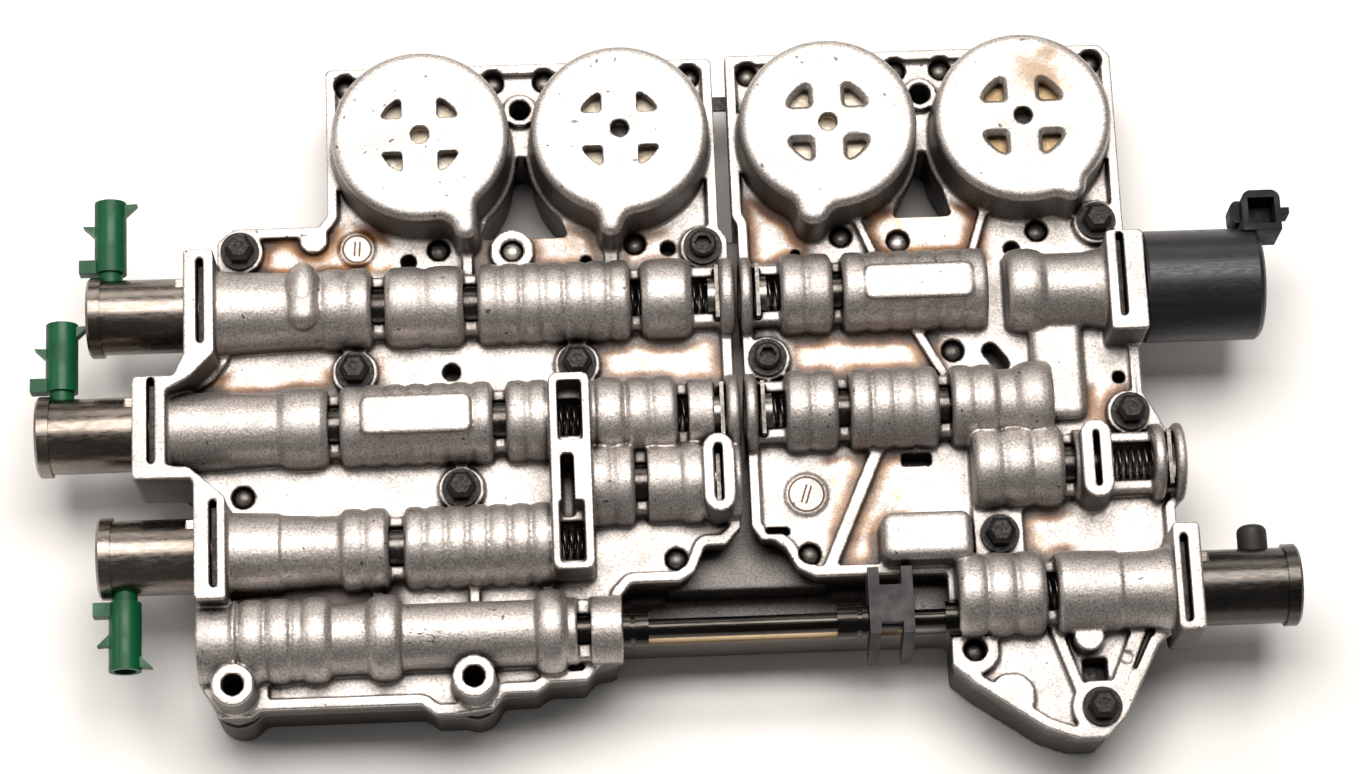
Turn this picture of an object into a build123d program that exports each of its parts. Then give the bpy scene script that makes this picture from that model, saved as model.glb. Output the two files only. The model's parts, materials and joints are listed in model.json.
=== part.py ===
# Transmission valve body: two die-cast housings with ringed valve barrels and round accumulator
# caps, bolted over a separator plate and a channel plate. Solenoids push into the barrel ends.
# Millimetres, +Z up. The origin is on the bottom face, on the line where the two housings meet.
from build123d import *
import os

os.makedirs("parts", exist_ok=True)

# The stack of castings, from the bottom face up
channel_thickness = 20.0
separator_thickness = 1.5
floor_thickness = 9.5
rim_height = 3.0
rim_width = 3.4
side_undercut = 1.2
separator_setback = 1.6
channel_setback = 1.5
bay_depth = 16.4
bay_wall = 3.4
bay_floor_thickness = 6.0
worm_depth = 10.0
corner_radius = 1.2
gap_corner = 1.4
housing_gap = 3.3

# Valve rows: the height of every bore and where each row lies
bore_rise = 13.5
row_a_y = 33.5
row_b_y = -4.5
row_b_short_y = -26.0
row_c_y = -43.8
row_c_right_y = -24.8
row_d_right_y = -65.0
row_pressure_y = 32.3
manual_row_y = -71.6

# Barrels, bores and windows
bore_radius = 6.6
manual_bore_radius = 5.45
neck_radius = 9.8
crest_radius = 12.9
valley_radius = 12.0
shoulder_drop = 1.7
window_rise = 3.4
snout_bore_radius = 9.3
spool_clearance = 0.2
plug_thickness = 2.2
clip_thickness = 1.2
clip_width = 17.0
clip_rise = 7.5
clip_slot_clearance = 0.15

# Solenoid flanges, with their retainer slots
flange_height = 29.0
flange_slot_width = 2.2
flange_slot_length = 27.3
flange_slot_floor = 3.0
retainer_thickness = 1.5
retainer_height = 21.5
retainer_end_clearance = 0.4
guard_height = 28.5
guard_width = 9.6
guard_length = 24.8
guard_slot_width = 2.5
guard_slot_length = 18.2
pad_half_width = 6.0
pad_drop = 2.7
pad_corner = 2.0
disc_rise = 0.8
bridge_edge = 3.6

# Accumulator caps, their windows and what moves under them
cap_height = 29.5
cap_radius = 28.6
cap_draft_angle = 1.6
cap_edge = 2.8
cap_wall = 4.0
cap_roof = 3.8
cap_window_radius = 13.5
cap_spoke_half = 5.7
cap_window_bevel = 1.8
cap_hole_radius = 2.8
spout_root = 4.0
cap_row_y = 85.2
back_margin = 0.2
piston_clearance = 0.3
piston_crown_rise = 23.2
piston_crown = 3.0
piston_length = 11.0
piston_wall = 3.2
piston_stop_wall = 1.8
accumulator_spring_radius = 10.0
accumulator_spring_wire = 2.0

# Fasteners
bolt_radius = 3.0
bolt_head_radius = 6.0
bolt_flange_thickness = 1.6
bolt_head_height = 6.2
bolt_flats = 8.0
bolt_dimple_radius = 1.6
bolt_crown = 1.2
socket_head_radius = 4.2
socket_head_height = 4.4
socket_reach = 2.7
bolt_seat_radius = 7.2
bolt_hole_clearance = 0.3
bolt_tip_height = 3.5
screw_radius = 2.5
screw_head_flats = 8.0
screw_head_height = 5.0
screw_recess_depth = 5.6
screw_recess_radius = 5.2
screw_hole_clearance = 0.3
screw_well_radius = 3.6
screw_well_depth = 3.0
screw_end_drop = 1.6
screw_end_chamfer = 1.0
boss_screw_drop = 1.2
tube_boss_radius = 6.5
tube_boss_foot_radius = 7.3
tube_foot_radius = 8.0
tube_boss_height = 25.5
tube_hole_radius = 3.3
tube_boss_y = -86.8
tube_boss_spacing = 72.4
tube_boss_left_x = -157.5

# Solenoids and their connectors
can_radius = 11.6
can_rim_radius = 12.6
can_rim_length = 4.3
can_face_gap = 0.2
snout_clearance = 0.3
snout_length = 14.0
snout_groove_depth = 1.5
nose_length = 6.0
nose_clearance = 0.4
connector_radius = 5.0
connector_neck_radius = 3.8
connector_neck_length = 2.5
connector_socket_radius = 3.4
connector_socket_depth = 9.0
connector_seat_gap = 0.2
pressure_can_radius = 17.5
pressure_can_length = 37.2
pressure_can_edge = 2.0

# Valve train
valve_neck_radius = 3.6
valve_spring_radius = 5.0
valve_spring_wire = 1.0
manual_land_radius = 5.25
manual_rod_radius = 3.0
manual_groove_depth = 0.9
fork_wall = 3.4
fork_clearance = 0.3
fork_top_rise = 7.0

# Heights that follow from the stack
mating_z = channel_thickness + separator_thickness
floor_z = mating_z + floor_thickness
rim_z = floor_z + rim_height
bore_z = mating_z + bore_rise
window_z = bore_z + window_rise
flange_z = mating_z + flange_height
guard_z = mating_z + guard_height
cap_z = mating_z + cap_height
roof_z = cap_z - cap_roof
slot_floor_z = mating_z + flange_slot_floor
clip_floor_z = bore_z - clip_rise
cap_bore_radius = cap_radius - cap_wall
back_y = cap_row_y + cap_radius + back_margin
left_edge_x = -housing_gap * 0.7
right_edge_x = housing_gap * 0.3
tube_boss_right_x = tube_boss_left_x + tube_boss_spacing

# Outlines of the two housings, clockwise from the back left corner
left_points = [
    (-127.5, back_y), (-5, back_y), (-5, 57.5), (left_edge_x, 53.5), (left_edge_x, -40.5), (-7, -45.7),
    (-13.5, -45.7), (-17, -54), (-21.5, -56.8), (-36.5, -56.8), (-39.8, -60.5), (-39.8, -81),
    (-47.5, -82.5), (-51, -86.7), (-62, -86.7), (-66, -89.6), (-76, -89.6), (-79.5, -94.2),
    (-90.5, -95.5), (-97.5, -95.5), (-101.5, -92.3), (-150, -92.3), (-153, -94.3), (-162.5, -94.3),
    (-168.5, -84), (-168.5, -23.5), (-176.8, -19), (-176.8, 8), (-166, 15), (-162.2, 20),
    (-162.2, 57.5), (-157, 61.8), (-130.5, 61.8), (-127.5, 65.5),
]
right_points = [
    (-0.8, back_y + 0.8), (119, back_y + 0.8), (122.5, back_y - 3), (122.5, 47), (124.8, 43), (124.8, -1.5),
    (128.5, -8), (131, -13.5), (134.8, -15.5), (134.8, -36), (132, -39), (132, -50), (128.5, -55),
    (128.5, -78), (124, -81.5), (112.5, -103.5), (106, -110), (97, -110), (87.5, -106.5),
    (66.5, -91.8), (60.3, -86), (60.3, -56.8), (20, -56.8), (14.5, -54), (11, -47.3),
    (7.3, -44.6), (3.8, -44.6), (right_edge_x, -40.5), (right_edge_x, 57.5), (-0.8, 61),
]

# Barrel sections: start x, end x, number of rings, crest or start radius, valley or end radius.
# A space between two sections is a window into the bore.
left_a_sections = [
    (-161.9, -146.0, 0, 13.4, 12.4), (-146.0, -129.6, 0, 12.4, 12.1),
    (-129.6, -113.9, 2, crest_radius, valley_radius), (-109.8, -85.4, 2, crest_radius, valley_radius),
    (-81.0, -33.7, 7, crest_radius, valley_radius), (-30.4, -14.6, 1, crest_radius, 12.0),
    (-6.0, -1.3, 1, 12.4, 11.6),
]
left_b_sections = [
    (-176.8, -157.0, 0, 12.4, 12.0), (-157.0, -143.5, 0, 11.8, 11.4),
    (-143.5, -127.9, 1, crest_radius, 11.8), (-124.3, -77.3, 7, crest_radius, valley_radius),
    (-73.3, -60.0, 2, crest_radius, valley_radius), (-60.0, -46.5, 0, 12.0, 12.0),
    (-46.5, -36.5, 1, crest_radius, 11.9), (-36.5, -20.6, 2, crest_radius, valley_radius),
    (-17.2, -9.3, 0, 11.6, 11.6), (-5.4, -1.3, 1, 12.4, 11.6),
]
left_b_short_sections = [
    (-48.0, -34.4, 2, crest_radius, 12.0), (-30.5, -20.8, 0, 12.0, 12.0),
    (-20.8, -13.0, 1, crest_radius, 12.0), (-13.0, -1.8, 0, 11.6, 11.6),
]
left_c_sections = [
    (-158.8, -143.0, 0, 12.9, 12.3), (-143.0, -133.0, 0, 11.6, 11.2), (-133.0, -124.8, 0, 10.9, 10.9),
    (-124.8, -110.0, 2, crest_radius, 12.0), (-105.4, -60.0, 7, crest_radius, valley_radius),
    (-60.0, -48.0, 0, 12.0, 12.0),
]
left_d_sections = [
    (-168.5, -158.4, 0, 12.6, 12.4), (-158.4, -156.2, 1, 13.2, 12.0),
    (-156.2, -139.7, 2, 13.2, 12.0), (-139.7, -137.4, 1, 12.6, 11.8),
    (-137.4, -128.2, 1, 13.4, 11.8), (-128.2, -117.0, 0, 11.0, 11.0), (-117.0, -107.0, 1, 13.4, 11.6),
    (-107.0, -66.0, 0, 10.2, 10.2), (-66.0, -57.0, 1, 13.2, 11.6), (-57.0, -53.6, 0, 10.5, 10.5),
    (-49.5, -39.8, 0, 10.6, 10.6),
]
right_a_sections = [
    (0.3, 4.2, 1, 12.4, 11.6), (12.9, 29.2, 2, crest_radius, valley_radius),
    (32.3, 77.6, 6, crest_radius, valley_radius),
]
right_pressure_sections = [
    (83.6, 95.6, 1, 13.4, 11.6), (95.6, 108.0, 0, 11.6, 11.7), (108.0, 115.0, 0, 11.7, 13.0),
]
right_b_sections = [
    (0.3, 4.2, 1, 12.4, 11.6), (12.9, 29.0, 2, crest_radius, valley_radius),
    (32.6, 60.2, 4, crest_radius, valley_radius), (64.0, 78.5, 2, crest_radius, valley_radius),
    (78.5, 84.0, 0, 11.2, 11.2), (84.0, 95.5, 1, 13.3, 11.2),
]
right_c_sections = [
    (69.5, 97.5, 3, crest_radius, 11.9), (101.0, 112.0, 0, 11.2, 11.2),
    (125.0, 129.0, 1, 12.2, 11.4), (131.8, 135.2, 1, 12.2, 11.4),
]
right_d_sections = [
    (62.4, 89.3, 3, 13.2, valley_radius), (92.7, 94.0, 0, 11.8, 13.0), (94.0, 112.0, 0, 13.0, 12.5),
    (112.0, 122.0, 0, 11.9, 12.1), (122.0, 128.0, 0, 12.1, 13.3),
]

# Where the fasteners go
left_bolts = [(-155, 54), (-119.8, 13.6), (-50.8, 13.8), (-10.2, 50.8), (-87.7, -25)]
right_bolts = [(8.4, 13.5), (114.1, 54.9), (120.2, -7.8), (77.2, -45.5), (104.9, -100.6)]
socket_bolts = [left_bolts[3], right_bolts[0]]
boss_screws = [(-70, 51.6)]
left_screws = [
    (-93, 53.6), (-31.5, 53.6), (-155, -24.6), (-22.4, -49), (-121.3, 108.7),
    (-74.6, 108.9), (-58.4, 108.9), (-12.2, 108.9),
]
right_screws = [
    (33.5, 53.8), (51.5, 51.6), (95.5, 53.6), (66.6, 15), (18.6, -49), (67.5, -81.3),
    (6.4, 108.9), (53.6, 108.9), (68.2, 108.9), (116.2, 109.4),
]

# Accumulators: centre, spout middle x, spout nose y, spout width, and whether its windows are bevelled
accumulators = [
    ((-97.4, cap_row_y), -84.0, 50.4, 8.8, False), ((-35.1, cap_row_y), -38.9, 49.9, 8.8, False),
    ((30.2, cap_row_y), 24.4, 51.4, 12.0, True), ((91.4, cap_row_y), 105.0, 56.6, 11.0, True),
]

# Raised and sunken features of the castings: x from and to, y from and to
left_pad = ((-117.5, -84.0), (row_b_y - pad_half_width, row_b_y + pad_half_width))
right_pad = ((39.2, 72.6), (row_a_y - pad_half_width, row_a_y + pad_half_width - 1))
stop_frame = ((-60.0, -47.5), (-55.5, 6.5))
stop_frame_openings = [((-57.5, -50.0), (-15.0, 4.0)), ((-57.7, -50.3), (-53.5, -34.0))]
stop_frame_well = ((-57.0, -53.0), (-36.0, -19.4))
riser = ((90.5, 107.0), (-9.5, 24.0))
crossover = ((40.0, 68.0), (-54.8, -39.8))
square_hole = ((100.2, 107.8), (-92.3, -84.7))
drain_slots = [((48.5, 58.0), (-22.0, -17.8)), ((5.3, 12.8), (-42.7, -40.2))]
ramp_boss = (-134.8, row_a_y + 0.4)
slanted_hole = (80.0, 12.4)
left_guard = (-8.8, row_b_short_y - 0.7)
right_guard = (106.9, row_c_right_y - 1.6)
left_small_holes = [(-102.5, 50, 2.5), (-89.9, 13.4, 2.8), (-46.8, 48.3, 1.8), (-21, 51.7, 2.4)]
right_small_holes = [(19, 48.2, 1.5), (87.3, 47.8, 2.5), (118, 4.5, 2.0)]
left_disc = (-118.5, 54.5, 5.6)
right_disc = (18.5, -30.0, 6.6)
tripod_post = (102.0, -79.5, 4.6)
spring_stop_x = -50.2

# Solenoids in the five flanges: flange face x, row y, direction out of the flange, slot x
solenoid_seats = [
    (-171.4, row_a_y, -1, -166.1), (-187.1, row_b_y, -1, -181.4), (-168.5, row_c_y, -1, -162.6),
    (136.4, row_d_right_y, 1, 131.2), (126.1, row_pressure_y, 1, 118.6),
]
can_lengths = [30.3, 30.2, 30.0, 30.8]


def outline(points):
    """A closed outline with small round corners."""
    with BuildSketch() as shape:
        with BuildLine():
            FilletPolyline(*points, radius=corner_radius, close=True)
        make_face()
    return shape.sketch


def turned(row_y, stations):
    """A solid turned about a row's axis through stations of x and radius."""
    profile = [(x, bore_z + radius) for x, radius in stations]
    with BuildPart() as solid:
        with BuildSketch(Plane.XZ.offset(-row_y)):
            with BuildLine():
                Polyline((stations[0][0], bore_z), *profile, (stations[-1][0], bore_z), close=True)
            make_face()
        revolve(axis=Axis((0, row_y, bore_z), (1, 0, 0)))
    return solid.part


def rod(row_y, start_x, end_x, radius):
    """A plain round bar or bore along a row."""
    return turned(row_y, [(start_x, radius), (end_x, radius)])


def tube(row_y, start_x, end_x, outer, wall):
    """A plain round tube along a row."""
    with BuildPart() as solid:
        with BuildSketch(Plane.XZ.offset(-row_y)):
            with Locations(((start_x + end_x) / 2, bore_z + outer - wall / 2)):
                Rectangle(end_x - start_x, wall)
        revolve(axis=Axis((0, row_y, bore_z), (1, 0, 0)))
    return solid.part


def barrel(row_y, sections):
    """The outside of one row: ringed sections with round shoulders, joined by thin necks."""
    stations = []
    for start_x, end_x, rings, crest, valley in sections:
        if stations and start_x > stations[-1][0]:
            stations += [(stations[-1][0], neck_radius), (start_x, neck_radius)]
        if rings == 0:
            profile = [(start_x, crest), (end_x, valley)]
        else:
            pitch = (end_x - start_x) / rings
            middle = crest - 0.3 * (crest - valley)
            profile = [(start_x, crest - shoulder_drop)]
            for ring in range(rings):
                ring_x = start_x + ring * pitch
                profile += [
                    (ring_x + 0.14 * pitch, middle), (ring_x + 0.34 * pitch, crest),
                    (ring_x + 0.66 * pitch, crest), (ring_x + 0.86 * pitch, middle),
                ]
                if ring < rings - 1:
                    profile.append((ring_x + pitch, valley))
            profile.append((end_x, crest - shoulder_drop))
        if stations and profile[0][0] == stations[-1][0] and abs(profile[0][1] - stations[-1][1]) < 0.01:
            profile = profile[1:]
        stations += profile
    return turned(row_y, stations)


def windows(row_y, sections):
    """The cuts that open a row's bore from above, one at each space between two sections."""
    half = neck_radius + 0.2
    return [
        block((before[1], after[0]), (row_y - half, row_y + half), (window_z, cap_z))
        for before, after in zip(sections, sections[1:])
        if after[0] > before[1]
    ]


def pillar(x, y, bottom, top, radius):
    """An upright round bar, or the hole for one."""
    with BuildPart() as solid:
        with BuildSketch(Plane.XY.offset(bottom)):
            with Locations((x, y)):
                Circle(radius)
        extrude(amount=top - bottom)
    return solid.part


def prism(shape, bottom, top):
    """An upright solid on a flat shape."""
    with BuildPart() as solid:
        with BuildSketch(Plane.XY.offset(bottom)):
            add(shape)
        extrude(amount=top - bottom)
    return solid.part


def upright_slot(x, y, width, length, bottom, top, turn=90.0, dome=0.0):
    """An upright solid with round ends, its length across the rows, its top edge domed on demand."""
    with BuildPart() as solid:
        with BuildSketch(Plane.XY.offset(bottom)):
            with Locations((x, y)):
                SlotOverall(length, width, rotation=turn)
        extrude(amount=top - bottom)
        if dome > 0:
            fillet(solid.edges().group_by(Axis.Z)[-1], dome)
    return solid.part


def tube_boss(x, y):
    """A drafted boss that stands for a fastener through the whole stack."""
    with BuildPart() as solid:
        with BuildSketch(Plane.XY.offset(mating_z)):
            with Locations((x, y)):
                Circle(tube_boss_foot_radius)
        with BuildSketch(Plane.XY.offset(mating_z + tube_boss_height)):
            with Locations((x, y)):
                Circle(tube_boss_radius)
        loft()
    return solid.part


def block(x_range, y_range, z_range, corner=0.0):
    """An upright block, its vertical corners round where a corner radius is given."""
    with BuildPart() as solid:
        with BuildSketch(Plane.XY.offset(z_range[0])) as foot:
            with Locations(((x_range[0] + x_range[1]) / 2, (y_range[0] + y_range[1]) / 2)):
                Rectangle(x_range[1] - x_range[0], y_range[1] - y_range[0])
            if corner > 0:
                fillet(foot.vertices(), corner)
        extrude(amount=z_range[1] - z_range[0])
    return solid.part


def soft_block(x_range, y_range, z_range, edge):
    """A block with its upright corners and its top edges rounded, as a cast bridge has them."""
    with BuildPart() as solid:
        add(block(x_range, y_range, z_range, edge))
        fillet(solid.edges().group_by(Axis.Z)[-1], 0.8 * edge)
    return solid.part


def accumulator_cap(centre, spout_x, spout_y, spout_width):
    """A round cap and its spout as one drafted form, with a round edge all along the top."""
    tip_y = spout_y + spout_width / 2
    with BuildPart() as cap:
        with BuildSketch(Plane.XY.offset(mating_z)):
            with Locations(centre):
                Circle(cap_radius)
            with Locations((spout_x, (tip_y + centre[1]) / 2)):
                Rectangle(spout_width, centre[1] - tip_y)
            with Locations((spout_x, tip_y)):
                Circle(spout_width / 2)
            offset(amount=spout_root, mode=Mode.REPLACE)
            offset(amount=-spout_root, mode=Mode.REPLACE)
        extrude(amount=cap_height, taper=cap_draft_angle)
        fillet(cap.edges().group_by(Axis.Z)[-1], cap_edge)
    return cap.part


def cap_openings(centre, bevelled):
    """The bore of an accumulator, the hole in its hub and the four windows in its roof."""
    with BuildSketch(Plane.XY.offset(cap_z)) as sectors:
        with Locations(centre):
            Circle(cap_window_radius)
            Rectangle(2 * cap_spoke_half, 2 * cap_window_radius, mode=Mode.SUBTRACT)
            Rectangle(2 * cap_window_radius, 2 * cap_spoke_half, mode=Mode.SUBTRACT)
        fillet(sectors.vertices(), 0.7)
    with BuildPart() as through:
        add(sectors.sketch)
        extrude(amount=-cap_roof)
    cuts = [
        pillar(centre[0], centre[1], mating_z, roof_z, cap_bore_radius),
        pillar(centre[0], centre[1], roof_z, cap_z, cap_hole_radius), through.part,
    ]
    if bevelled:
        with BuildPart() as bevels:
            with BuildSketch(Plane.XY.offset(cap_z)):
                add(sectors.sketch)
                offset(amount=cap_window_bevel * 0.7, mode=Mode.REPLACE)
            extrude(amount=-cap_window_bevel, taper=35)
        cuts.append(bevels.part)
    return cuts


def pocket(points, islands, ribs):
    """The sunken floor inside a housing's rim, left standing at islands and ribs."""
    with BuildPart() as cut:
        with BuildSketch(Plane.XY.offset(floor_z)):
            add(outline(points))
            offset(amount=-rim_width, mode=Mode.REPLACE)
            for x, y, radius in islands:
                with Locations((x, y)):
                    Circle(radius, mode=Mode.SUBTRACT)
            for start, end, width in ribs:
                with BuildLine():
                    Line(start, end)
                trace(line_width=width, mode=Mode.SUBTRACT)
        extrude(amount=rim_height)
    return cut.part


def cap_gap(corners, centres, bosses):
    """The three-cornered opening between two caps, right through the stack."""
    with BuildSketch() as gap:
        with BuildLine():
            Polyline(*corners, close=True)
        make_face()
        for centre in centres:
            with Locations(centre):
                Circle(cap_radius + 1, mode=Mode.SUBTRACT)
        for x, y, radius in bosses:
            with Locations((x, y)):
                Circle(radius, mode=Mode.SUBTRACT)
        offset(amount=-gap_corner, mode=Mode.REPLACE)
        offset(amount=gap_corner, mode=Mode.REPLACE)
    return gap.sketch


def deck(points):
    """The plate of a housing: the body and the slightly wider deck over it."""
    with BuildPart() as plate:
        with BuildSketch(Plane.XY.offset(mating_z)):
            add(outline(points))
            offset(amount=-side_undercut, mode=Mode.REPLACE)
        extrude(amount=floor_thickness)
        with BuildSketch(Plane.XY.offset(floor_z - side_undercut)):
            add(outline(points))
        extrude(amount=rim_height + side_undercut)
    return plate.part


def screw_cuts(x, y):
    """The hole for an assembly screw in a housing, with the well at its end."""
    return [
        pillar(x, y, mating_z, rim_z, screw_radius + screw_hole_clearance),
        pillar(x, y, floor_z - screw_well_depth, rim_z, screw_well_radius),
    ]


def bolt_cuts(x, y):
    """The hole for a mounting bolt, with the flat seat milled for its head."""
    return [
        pillar(x, y, mating_z, rim_z, bolt_radius + bolt_hole_clearance),
        pillar(x, y, rim_z, cap_z, bolt_seat_radius),
    ]


def seat_bore(face_x, row_y, way):
    """The wide bore in a flange that takes the snout of a solenoid."""
    start_x, end_x = sorted((face_x, face_x - way * (snout_length + snout_clearance)))
    return rod(row_y, start_x, end_x, snout_bore_radius)


def flange_slot(slot_x, row_y):
    """The slot in a flange that takes the retainer plate."""
    return upright_slot(slot_x, row_y, flange_slot_width, flange_slot_length, slot_floor_z, flange_z)


def clip_slot(clip_x, row_y):
    """The slot across a neck for the plate that keeps a bore plug in."""
    half = clip_thickness / 2 + clip_slot_clearance
    reach = clip_width / 2 + clip_slot_clearance
    return block((clip_x - half, clip_x + half), (row_y - reach, row_y + reach), (clip_floor_z, cap_z))


# Where the bore plugs and their clips sit: clip x, row y, side of the clip that the plug is on
plug_seats = [
    (-6.7, row_a_y, -1), (-6.7, row_b_y, -1), (-8.8, row_b_short_y, -1),
    (6.0, row_a_y, 1), (6.0, row_b_y, 1), (130.4, row_c_right_y, -1),
]

# Islands and ribs that stand up to the rim inside each pocket
left_islands = [(x, y, bolt_seat_radius) for x, y in left_bolts] + [
    (-132, 57.5, 4.5), (tube_boss_left_x, tube_boss_y, 10), (boss_screws[0][0], boss_screws[0][1], 7),
    (-66.2, 98.5, 5.4),
]
left_ribs = [
    ((-84, 60), (-84, 44), 3.2), ((-39, 56), (-39, 44), 4.0), ((-114, -50), (-114, -66), 3.0),
    ((-84.5, -50), (-84.5, -66), 3.0), ((-62, -50), (-62, -66), 3.0),
]
right_islands = [(x, y, bolt_seat_radius) for x, y in right_bolts] + [
    (104.9, -100.6, 9.0), (67.5, -81.5, 7.5), (78, -96, 7.0), (61, 99.8, 5.4),
]
right_ribs = [
    ((38, 60), (44.5, 44), 2.6), ((79.5, 62), (73.5, 44), 2.6), ((55, 22), (63.5, 6), 3.0),
    ((42.5, -14), (24, -55), 4.0), ((92.2, -75), (99.4, -97), 3.5), ((118, -77), (110, -95), 4.5),
    ((77, -36.5), (77, -56), 15.6),
]

# Openings that pass through the whole stack, and the channel plate's own outline
left_cap_gap = cap_gap(
    [(-69, 84), (-63.4, 84), (-52, 56.5), (-80, 56.5)], [accumulators[0][0], accumulators[1][0]],
    [(boss_screws[0][0], boss_screws[0][1], 7)],
)
right_cap_gap = cap_gap(
    [(58.2, 82), (63, 82), (69, 59.5), (50, 59.5)], [accumulators[2][0], accumulators[3][0]], [],
)
through_holes = [
    (-66.2, 98.5, 3.3), (61, 99.8, 3.4),
    (tube_boss_left_x, tube_boss_y, tube_hole_radius), (tube_boss_right_x, tube_boss_y, tube_hole_radius),
]
bay_back_y = -56.8
bay_front_y = bay_back_y - bay_depth
bay_x = (-39.8, 60.3)
trough_x = (-44.0, 50.0)
channel_bridge = [
    (-6, 57), (3, 57), (3, -38), (9, -42), (16, -50), (24, -54), (24, -58), (-25, -58), (-25, -54),
    (-19, -49), (-11, -42), (-6, -38),
]

# Left valve housing
left_flange = [
    (-171.4, 50), (-161.9, 50), (-161.9, 16.5), (-169.5, 9), (-176.8, 5), (-176.8, -18.8),
    (-170, -19.5), (-164, -24.5), (-158.8, -29.5), (-158.8, -61.3), (-168.5, -61.3),
    (-168.5, -23.5), (-187.1, -23), (-187.1, 9.7), (-174.6, 9.9), (-171.4, 16.2),
]
left_bodies = [
    barrel(row_a_y, left_a_sections), barrel(row_b_y, left_b_sections),
    barrel(row_b_short_y, left_b_short_sections), barrel(row_c_y, left_c_sections),
    barrel(manual_row_y, left_d_sections), prism(outline(left_flange), mating_z, flange_z),
    block(*left_pad, (bore_z, cap_z - pad_drop), pad_corner),
    block(*stop_frame, (mating_z, guard_z), pad_corner),
    upright_slot(*ramp_boss, 10.6, 19, bore_z, bore_z + crest_radius + 1.5, dome=4.6),
    upright_slot(*left_guard, guard_width, guard_length, mating_z, guard_z),
    tube_boss(tube_boss_left_x, tube_boss_y), tube_boss(tube_boss_right_x, tube_boss_y),
    pillar(*left_disc[:2], mating_z, floor_z + disc_rise, left_disc[2]),
]
left_cuts = [prism(left_cap_gap, mating_z, cap_z)]
for cap_centre, spout_x, spout_y, spout_width, bevelled in accumulators[:2]:
    left_bodies.append(accumulator_cap(cap_centre, spout_x, spout_y, spout_width))
    left_cuts += cap_openings(cap_centre, bevelled)
for x, y in left_bolts:
    left_cuts += bolt_cuts(x, y)
for x, y in left_screws + boss_screws:
    left_cuts += screw_cuts(x, y)
for x, y, radius in left_small_holes:
    left_cuts.append(pillar(x, y, mating_z, rim_z, radius))
for x, y, radius in [through_holes[0], through_holes[2], through_holes[3]]:
    left_cuts.append(pillar(x, y, mating_z, cap_z, radius))
left_cuts += windows(row_a_y, left_a_sections) + windows(row_b_y, left_b_sections)
left_cuts += windows(row_b_short_y, left_b_short_sections) + windows(row_c_y, left_c_sections)
left_cuts += windows(manual_row_y, left_d_sections)
for opening in stop_frame_openings:
    left_cuts.append(block(*opening, (window_z, guard_z), 1))
left_cuts += [
    block(*stop_frame_well, (floor_z - screw_well_depth, guard_z), 1),
    upright_slot(*left_guard, guard_slot_width, guard_slot_length, clip_floor_z, guard_z),
    rod(row_a_y, -160, -0.5, bore_radius), rod(row_b_y, -175, spring_stop_x, bore_radius),
    rod(row_b_y, -47.2, -0.5, bore_radius), rod(row_b_short_y, -44, -0.5, bore_radius),
    rod(row_c_y, -156, spring_stop_x, bore_radius), rod(manual_row_y, -150, -39, manual_bore_radius),
]
for face_x, row_y, way, slot_x in solenoid_seats[:3]:
    left_cuts += [seat_bore(face_x, row_y, way), flange_slot(slot_x, row_y)]
for clip_x, row_y, way in plug_seats[:2]:
    left_cuts.append(clip_slot(clip_x, row_y))
with BuildPart() as left_valve_housing:
    add(deck(left_points))
    add(pocket(left_points, left_islands, left_ribs), mode=Mode.SUBTRACT)
    add(left_bodies)
    add(left_cuts, mode=Mode.SUBTRACT)
left_valve_housing.part.label = "left_valve_housing"
export_step(left_valve_housing.part, "parts/left_valve_housing.step")

# Right valve housing
right_flange_a = [(114.3, 46.6), (126.1, 46.6), (126.1, 14.2), (114.3, 14.2)]
right_flange_d = [(128, -47.7), (136.4, -47.7), (136.4, -81), (128, -81)]
right_bodies = [
    barrel(row_a_y, right_a_sections), barrel(row_pressure_y, right_pressure_sections),
    barrel(row_b_y, right_b_sections), barrel(row_c_right_y, right_c_sections),
    barrel(row_d_right_y, right_d_sections),
    prism(outline(right_flange_a), mating_z, flange_z), prism(outline(right_flange_d), mating_z, flange_z),
    block(*right_pad, (bore_z, cap_z - pad_drop), pad_corner),
    soft_block(*riser, (mating_z, bore_z + 1.5), bridge_edge),
    soft_block(*crossover, (mating_z, bore_z + 10.5), bridge_edge),
    upright_slot(*right_guard, guard_width, guard_length, mating_z, guard_z),
    pillar(*tripod_post[:2], mating_z, bore_z + 4, tripod_post[2]),
    pillar(*right_disc[:2], mating_z, floor_z + disc_rise, right_disc[2]),
]
right_cuts = [prism(right_cap_gap, mating_z, cap_z)]
for cap_centre, spout_x, spout_y, spout_width, bevelled in accumulators[2:]:
    right_bodies.append(accumulator_cap(cap_centre, spout_x, spout_y, spout_width))
    right_cuts += cap_openings(cap_centre, bevelled)
for x, y in right_bolts:
    right_cuts += bolt_cuts(x, y)
for x, y in right_screws:
    right_cuts += screw_cuts(x, y)
for x, y, radius in right_small_holes + [through_holes[1]]:
    right_cuts.append(pillar(x, y, mating_z, rim_z, radius))
right_cuts += windows(row_a_y, right_a_sections) + windows(row_b_y, right_b_sections)
right_cuts += windows(row_c_right_y, right_c_sections) + windows(row_d_right_y, right_d_sections)
for slot in drain_slots + [square_hole]:
    right_cuts.append(block(*slot, (mating_z, rim_z), 0.8))
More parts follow.
